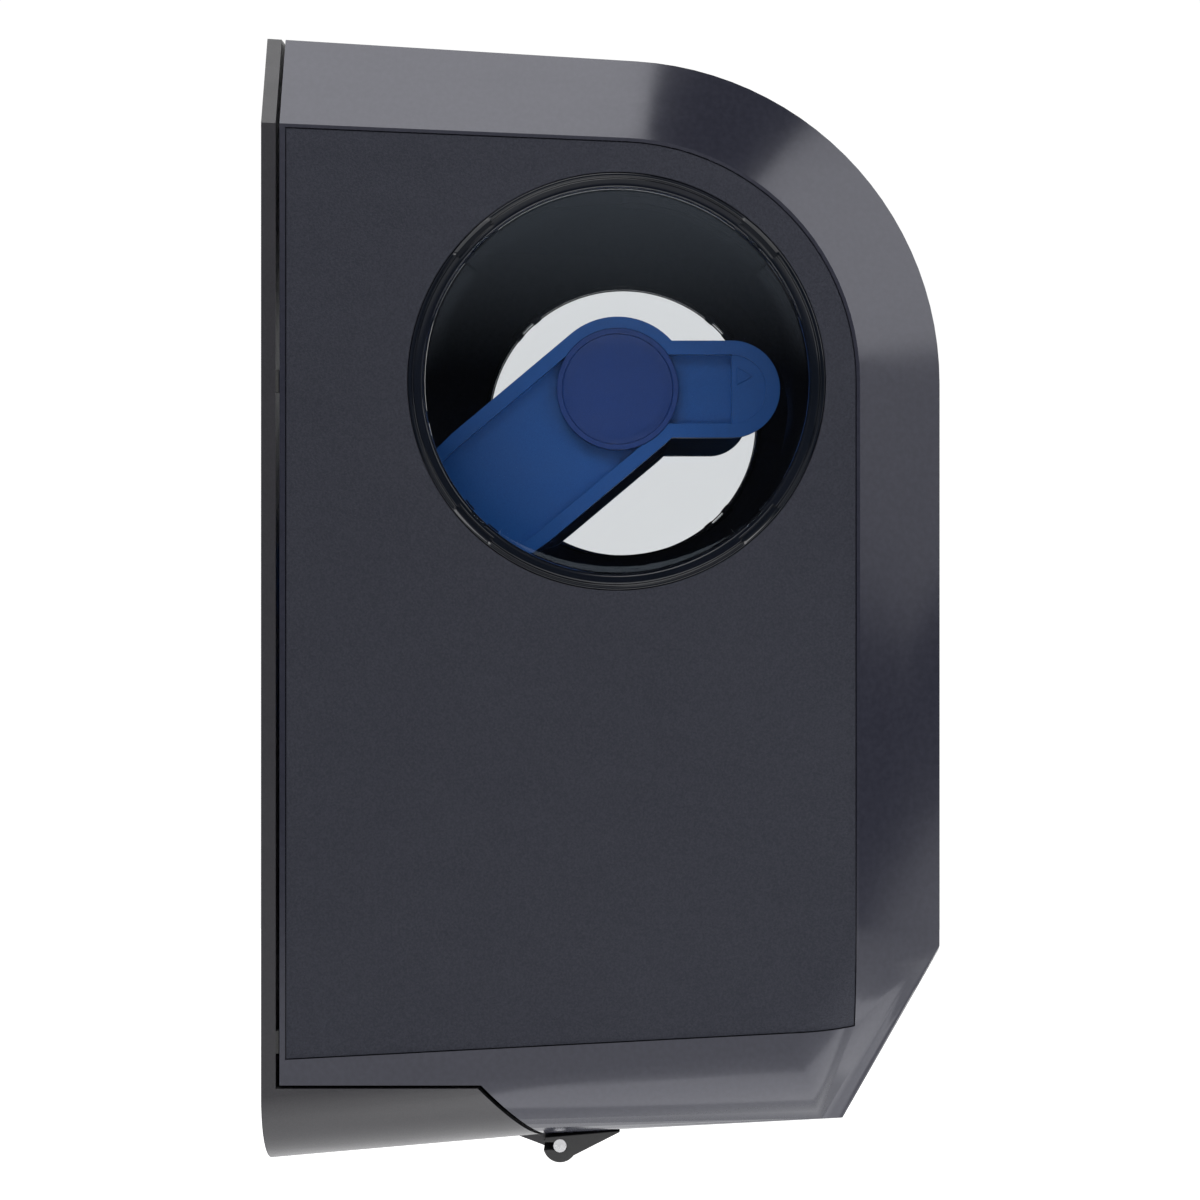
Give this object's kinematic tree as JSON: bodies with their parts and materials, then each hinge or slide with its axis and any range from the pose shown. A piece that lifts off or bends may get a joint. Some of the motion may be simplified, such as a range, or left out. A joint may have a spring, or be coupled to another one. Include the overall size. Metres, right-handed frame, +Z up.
{
  "type": "roll towel dispenser",
  "caption": "Wall-mounted roll towel dispenser with a swinging glossy cover, round side windows, blue roll arms and a cutting drum.",
  "frame": {"origin": "middle of the four wall screw holes, on the wall plane", "axes": "+Z up, +Y into the wall, the front faces -Y, +X to the right seen from the front"},
  "size_m": [0.316, 0.2443, 0.4112],
  "materials": {
    "cover_gloss": "glossy smoky black moulded plastic",
    "panel_texture": "matte charcoal with a fine moulded grain",
    "window_smoke": "clear smoke-tinted plastic",
    "back_plastic": "satin black moulded plastic",
    "hinge_plastic": "matte black moulded plastic",
    "steel": "bright steel",
    "zinc": "zinc-plated sheet steel",
    "chrome_lock": "plated die-cast lock",
    "arm_blue": "satin dark blue moulded plastic",
    "hub_navy": "satin navy moulded plastic",
    "drum_grey": "satin grey moulded plastic",
    "grip_rubber": "matte black rubber",
    "wheel_blue": "satin blue moulded plastic",
    "guide_grey": "satin dark grey moulded plastic",
    "bush_white": "natural bearing plastic",
    "blade_steel": "ground spring steel"
  },
  "bodies": {
    "back": {"back_plate": "back_plastic", "hinge_rod": "steel", "strike_bracket": "zinc", "cam_track": "bush_white", "one_way_bearing": "steel", "spring_post": "steel", "drive_spring": "steel", "pinch_pivot": "steel", "front_guide": "guide_grey", "rear_guide": "guide_grey", "cover_buffers": "grip_rubber", "plate_screws": "steel", "arm_bracket_left": "zinc", "arm_bracket_right": "zinc", "arm_pin_left": "steel", "arm_pin_right": "steel", "arm_spring_left": "steel", "arm_spring_right": "steel", "mechanism_plate_left": "guide_grey", "mechanism_plate_right": "guide_grey", "drum_bush_left": "bush_white", "drum_bush_right": "bush_white", "pinch_spring_left": "steel", "pinch_spring_right": "steel"},
    "cover": {"cover_shell": "cover_gloss", "lock_collar": "chrome_lock", "side_panel_left": "panel_texture", "side_panel_right": "panel_texture", "window_left": "window_smoke", "window_right": "window_smoke", "hinge_knuckle_left": "hinge_plastic", "hinge_knuckle_right": "hinge_plastic"},
    "lock": {"lock_barrel": "chrome_lock", "lock_tongue": "chrome_lock"},
    "arm_left": {"roll_arm_left": "arm_blue"},
    "arm_right": {"roll_arm_right": "arm_blue"},
    "hub_left": {"roll_hub_left": "hub_navy"},
    "hub_right": {"roll_hub_right": "hub_navy"},
    "drum": {"drum_shell": "drum_grey", "grip_bands": "grip_rubber", "drum_cap_left": "drum_grey", "drum_cap_right": "drum_grey", "drum_shaft": "steel", "feed_wheel": "wheel_blue", "crank_disc": "bush_white"},
    "knife": {"knife_carrier": "drum_grey", "knife_blade": "blade_steel", "blade_screws": "steel", "knife_pin": "steel", "cam_follower": "bush_white"},
    "pinch": {"pinch_frame": "guide_grey"},
    "pinch_roller": {"pinch_shaft": "steel", "pinch_sleeves": "grip_rubber"}
  },
  "joints": [
    {"name": "cover_hinge", "type": "hinge", "parent": "back", "child": "cover", "pos_m": [0, -0.106, -0.2037], "axis": [1, 0, 0], "range_deg": [0, 100]},
    {"name": "lock_turn", "type": "hinge", "parent": "cover", "child": "lock", "pos_m": [0, -0.034, 0.19], "axis": [0, 0, 1], "range_deg": [0, 90]},
    {"name": "left_arm_swing", "type": "hinge", "parent": "back", "child": "arm_left", "pos_m": [-0.111, -0.014, -0.01882], "axis": [0, 0, -1], "range_deg": [0, 6], "stiffness_Nm_per_rad": 1.5, "springref_deg": -5.73},
    {"name": "right_arm_swing", "type": "hinge", "parent": "back", "child": "arm_right", "pos_m": [0.111, -0.014, -0.01882], "axis": [0, 0, 1], "range_deg": [0, 6], "stiffness_Nm_per_rad": 1.5, "springref_deg": -5.73},
    {"name": "left_hub_spin", "type": "hinge", "parent": "arm_left", "child": "hub_left", "pos_m": [-0.107, -0.127, 0.076], "axis": [1, 0, 0], "continuous": true},
    {"name": "right_hub_spin", "type": "hinge", "parent": "arm_right", "child": "hub_right", "pos_m": [0.107, -0.127, 0.076], "axis": [1, 0, 0], "continuous": true},
    {"name": "drum_spin", "type": "hinge", "parent": "back", "child": "drum", "pos_m": [0, -0.125, -0.11], "axis": [1, 0, 0], "continuous": true, "deforming": ["drive_spring"]},
    {"name": "knife_swing", "type": "hinge", "parent": "drum", "child": "knife", "pos_m": [0, -0.094, -0.128], "axis": [-1, 0, 0], "range_deg": [0, 25], "stiffness_Nm_per_rad": 0.05, "springref_deg": -20.05},
    {"name": "pinch_lift", "type": "hinge", "parent": "back", "child": "pinch", "pos_m": [0, -0.06, -0.062], "axis": [-1, 0, 0], "range_deg": [0, 8], "stiffness_Nm_per_rad": 0.6, "springref_deg": -17.19},
    {"name": "pinch_roller_spin", "type": "hinge", "parent": "pinch", "child": "pinch_roller", "pos_m": [0, -0.10554, -0.05653], "axis": [1, 0, 0], "continuous": true}
  ],
  "couplings": [
    {"joint": "pinch_roller_spin", "follows": "drum_spin", "ratio": -4.1455}
  ]
}
